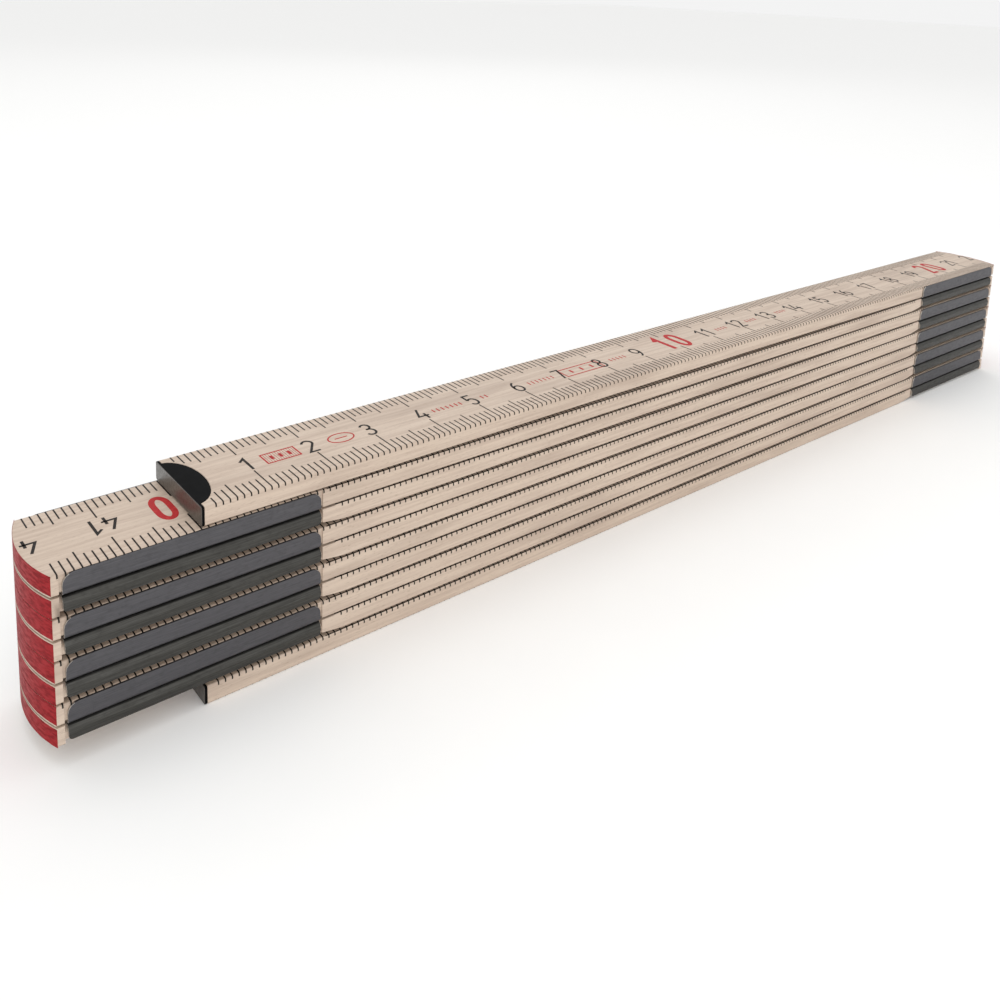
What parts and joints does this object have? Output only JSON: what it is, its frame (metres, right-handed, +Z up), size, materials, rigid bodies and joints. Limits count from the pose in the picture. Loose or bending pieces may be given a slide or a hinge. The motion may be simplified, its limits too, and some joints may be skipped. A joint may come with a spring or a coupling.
{
  "type": "folding rule",
  "caption": "Wooden carpenter's folding rule shown folded flat, limbs stacked and joined end to end by riveted spring-plate joints, with scale markings on the wide faces.",
  "frame": {"origin": "centre of the folded rule's footprint, on the surface that it lies on", "axes": "+X along the limbs from the numbered start, +Y across their width, +Z up through the stack"},
  "size_m": [0.2408, 0.0164, 0.0289],
  "materials": {
    "limewood": "clear-lacquered pale limewood, fine straight grain",
    "spring_steel": "burnished dark spring steel, semi-matt",
    "rivet_steel": "bright turned steel rivets and spring washers",
    "cap_steel": "black burnished sheet steel end clips",
    "end_paint": "red dip paint on the wooden limb ends, streaky and slightly glossy",
    "black_ink": "black printing ink of the graduations and numerals",
    "red_ink": "red printing ink of the tens numerals and the small marks"
  },
  "bodies": {
    "limb_1_body": {"limb_1": "limewood", "start_cap": "cap_steel", "joint_1_upper_plate": "spring_steel", "joint_1_rivet": "rivet_steel", "joint_1_spring_washer": "rivet_steel"},
    "limb_2_body": {"limb_2": "limewood", "joint_1_lower_plate": "spring_steel", "joint_2_upper_plate": "spring_steel", "joint_2_rivet": "rivet_steel", "joint_2_spring_washer": "rivet_steel"},
    "limb_3_body": {"limb_3": "limewood", "joint_2_lower_plate": "spring_steel", "joint_3_upper_plate": "spring_steel", "joint_3_rivet": "rivet_steel", "joint_3_spring_washer": "rivet_steel"},
    "limb_4_body": {"limb_4": "limewood", "joint_3_lower_plate": "spring_steel", "joint_4_upper_plate": "spring_steel", "joint_4_rivet": "rivet_steel", "joint_4_spring_washer": "rivet_steel"},
    "limb_5_body": {"limb_5": "limewood", "joint_4_lower_plate": "spring_steel", "joint_5_upper_plate": "spring_steel", "joint_5_rivet": "rivet_steel", "joint_5_spring_washer": "rivet_steel"},
    "limb_6_body": {"limb_6": "limewood", "joint_5_lower_plate": "spring_steel", "joint_6_upper_plate": "spring_steel", "joint_6_rivet": "rivet_steel", "joint_6_spring_washer": "rivet_steel"},
    "limb_7_body": {"limb_7": "limewood", "joint_6_lower_plate": "spring_steel", "joint_7_upper_plate": "spring_steel", "joint_7_rivet": "rivet_steel", "joint_7_spring_washer": "rivet_steel"},
    "limb_8_body": {"limb_8": "limewood", "joint_7_lower_plate": "spring_steel", "joint_8_upper_plate": "spring_steel", "joint_8_rivet": "rivet_steel", "joint_8_spring_washer": "rivet_steel"},
    "limb_9_body": {"limb_9": "limewood", "joint_8_lower_plate": "spring_steel", "joint_9_upper_plate": "spring_steel", "joint_9_rivet": "rivet_steel", "joint_9_spring_washer": "rivet_steel"},
    "limb_10_body": {"limb_10": "limewood", "joint_9_lower_plate": "spring_steel", "finish_cap": "cap_steel"}
  },
  "joints": [
    {"name": "joint_1", "type": "hinge", "parent": "limb_2_body", "child": "limb_1_body", "pos_m": [0.1, 0, 0.0259], "axis": [0, 0, 1], "range_deg": [0, 180]},
    {"name": "joint_2", "type": "hinge", "parent": "limb_3_body", "child": "limb_2_body", "pos_m": [-0.1, 0, 0.023], "axis": [0, 0, -1], "range_deg": [0, 180]},
    {"name": "joint_3", "type": "hinge", "parent": "limb_4_body", "child": "limb_3_body", "pos_m": [0.1, 0, 0.0201], "axis": [0, 0, 1], "range_deg": [0, 180]},
    {"name": "joint_4", "type": "hinge", "parent": "limb_5_body", "child": "limb_4_body", "pos_m": [-0.1, 0, 0.0172], "axis": [0, 0, -1], "range_deg": [0, 180]},
    {"name": "joint_5", "type": "hinge", "parent": "limb_6_body", "child": "limb_5_body", "pos_m": [0.1, 0, 0.0143], "axis": [0, 0, 1], "range_deg": [0, 180]},
    {"name": "joint_6", "type": "hinge", "parent": "limb_7_body", "child": "limb_6_body", "pos_m": [-0.1, 0, 0.0114], "axis": [0, 0, -1], "range_deg": [0, 180]},
    {"name": "joint_7", "type": "hinge", "parent": "limb_8_body", "child": "limb_7_body", "pos_m": [0.1, 0, 0.0085], "axis": [0, 0, 1], "range_deg": [0, 180]},
    {"name": "joint_8", "type": "hinge", "parent": "limb_9_body", "child": "limb_8_body", "pos_m": [-0.1, 0, 0.0056], "axis": [0, 0, -1], "range_deg": [0, 180]},
    {"name": "joint_9", "type": "hinge", "parent": "limb_10_body", "child": "limb_9_body", "pos_m": [0.1, 0, 0.0027], "axis": [0, 0, 1], "range_deg": [0, 180]}
  ]
}
